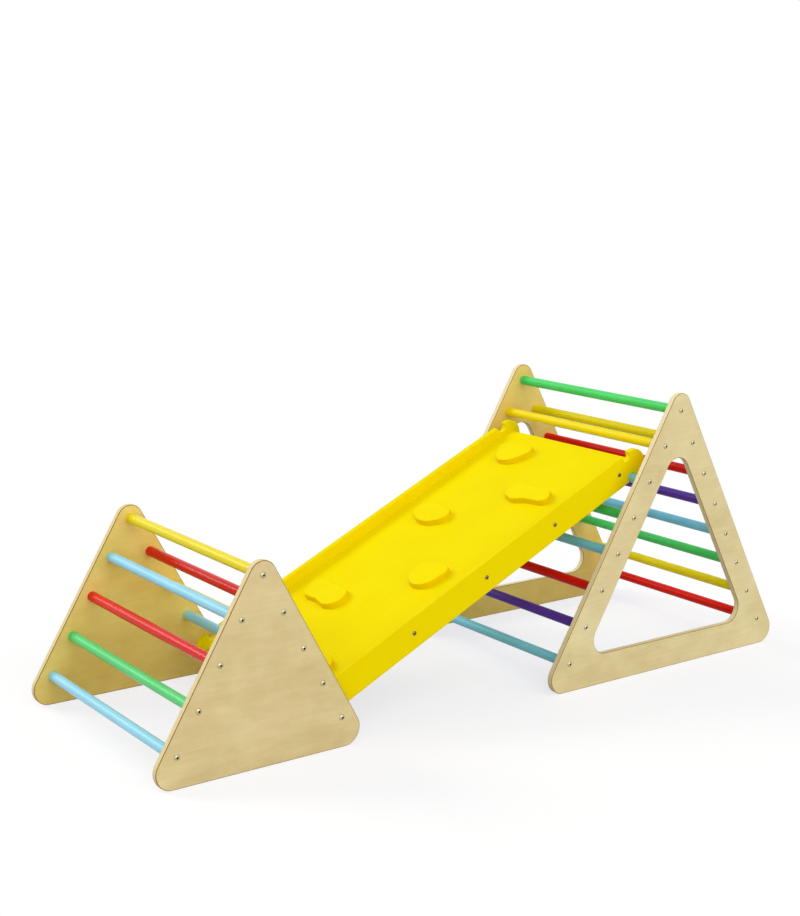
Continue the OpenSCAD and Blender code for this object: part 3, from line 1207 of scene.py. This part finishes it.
def rung_paints(groups: Groups, prefix: str, tones: dict[str, tuple[str, Colour, Colour]],
                gloss: float, specular: float) -> dict[str, Material]:
    """Makes the paint of each rung colour.

    Args:
        groups: The shared node groups.
        prefix: What the materials' names start with.
        tones: Name, paint and shade of each letter.
        gloss: How rough the paint is.
        specular: How much the paint shines.

    Returns:
        The material of each letter.
    """
    return {letter: Paint(name=f"{prefix}_rung_{name}", turn=Grain.ALONG_Y, bump=0.04, paint=paint,
                          shade=shade, gloss=gloss, specular=specular).make(groups)
            for letter, (name, paint, shade) in tones.items()}


def build_triangles(groups: Groups, metals: dict[str, Material]) -> None:
    """Builds and dresses both triangles.

    Args:
        groups: The shared node groups.
        metals: Every metal, by name.
    """
    outer = BirchFace(name="birch_outer_face").make(groups)
    # The pale face is a lighter copy of the birch for the large triangle: painted light on its
    # sides.
    pale = BirchFace(name="birch_painted_light_face", light=linear(248, 234, 180),
                     dark=linear(222, 202, 142)).make(groups)
    # The inner face is a warmer, more saturated copy of the birch: painted warm bounce light on
    # the faces between the sides.
    inner = BirchFace(name="birch_painted_bounce_face", light=linear(247, 223, 132),
                      dark=linear(226, 193, 95), blush=linear(238, 201, 114)).make(groups)
    # The large triangle's lighter ply edge colour is painted light on edges that the ramp shades.
    large = Triangle("large_triangle", pitch=100.0, first=73.0, inset=39.5, count=7,
                     front_paint="ybgbrpb", back_paint="yrpbgyr", top_paint="g", band=80.0,
                     ply_light=linear(255, 246, 206), ply_scorch=linear(184, 148, 94))
    small = Triangle("small_triangle", pitch=103.7, first=70.4, inset=33.0, count=4,
                     front_paint="ryby", back_paint="brgb", top_paint="y")
    bolt_metals = [metals[name] for name in ("zinc_dome", "zinc_painted_shade_rim", "zinc_painted_shade_socket")]
    for triangle, face, paints in (
            (large, pale, rung_paints(groups, "large", LARGE_TONES, gloss=0.28, specular=0.09)),
            (small, outer, rung_paints(groups, "small", SMALL_TONES, gloss=0.22, specular=0.2))):
        for side in Side:
            triangle.build_side(side, groups, face, inner)
            triangle.build_bolts(side, bolt_metals)
        triangle.dress(paints, metals["insert_steel"])


def build_ramp(groups: Groups, metals: dict[str, Material]) -> None:
    """Builds and dresses the ramp.

    Args:
        groups: The shared node groups.
        metals: Every metal, by name.
    """
    down, along = Grain.DOWN_RAMP, Grain.ALONG_Y
    yellow, rim, flank, shaded, grip, wall = [
        Paint(name=name, turn=turn, bump=bump, gloss=gloss, paint=paint, shade=shade).make(groups)
        for name, turn, bump, gloss, paint, shade in (
            ("ramp_yellow", down, 0.15, 0.42, linear(252, 233, 2), linear(249, 227, 0)),
            ("ramp_yellow_edge", down, 0.2, 0.46, linear(251, 232, 10), linear(246, 222, 4)),
            # The outer rail paint is a redder, lighter copy of the ramp yellow: painted light on
            # the rails' outward faces.
            ("ramp_yellow_outer", down, 0.15, 0.42, linear(255, 231, 2), linear(255, 227, 0)),
            # The inner rail paint is a darker copy of the ramp yellow: painted shade on the rails'
            # faces beside the board.
            ("ramp_yellow_inner", down, 0.15, 0.42, linear(244, 222, 2), linear(240, 216, 0)),
            ("grip_yellow", along, 0.2, 0.4, linear(255, 235, 2), linear(253, 230, 0)),
            # The grips' wall paint is a darker copy of their paint: painted shade on the walls,
            # where they meet the board.
            ("grip_yellow_wall", along, 0.2, 0.44, linear(243, 212, 4), linear(237, 204, 2)))]
    dowel = BirchFace(name="dowel_wood", turn=down, bump=0.2,
                      light=linear(214, 186, 140)).make(groups)
    screw_metals = [metals[name] for name in ("screw_dome", "zinc_painted_shade_rim", "zinc_painted_shade_socket")]
    ramp = Ramp()
    for side in Side:
        ramp.build_rail(side, flank, rim, shaded)
        ramp.build_screws(side, screw_metals)
    ramp.build_board(yellow, rim)
    ramp.build_grips(grip, wall)
    cover("grip_dowels", dowel)


def main() -> None:
    """Builds every sub-assembly and the studio."""
    logging.basicConfig(level=logging.INFO, format="%(name)s: %(message)s")
    groups = Groups()
    metals = {name: PlatedSteel(name=name, bright=bright, dull=dull).make(groups)
              for name, (bright, dull) in METALS.items()}
    build_triangles(groups, metals)
    build_ramp(groups, metals)
    Studio().build()


if __name__ == "__main__":
    main()
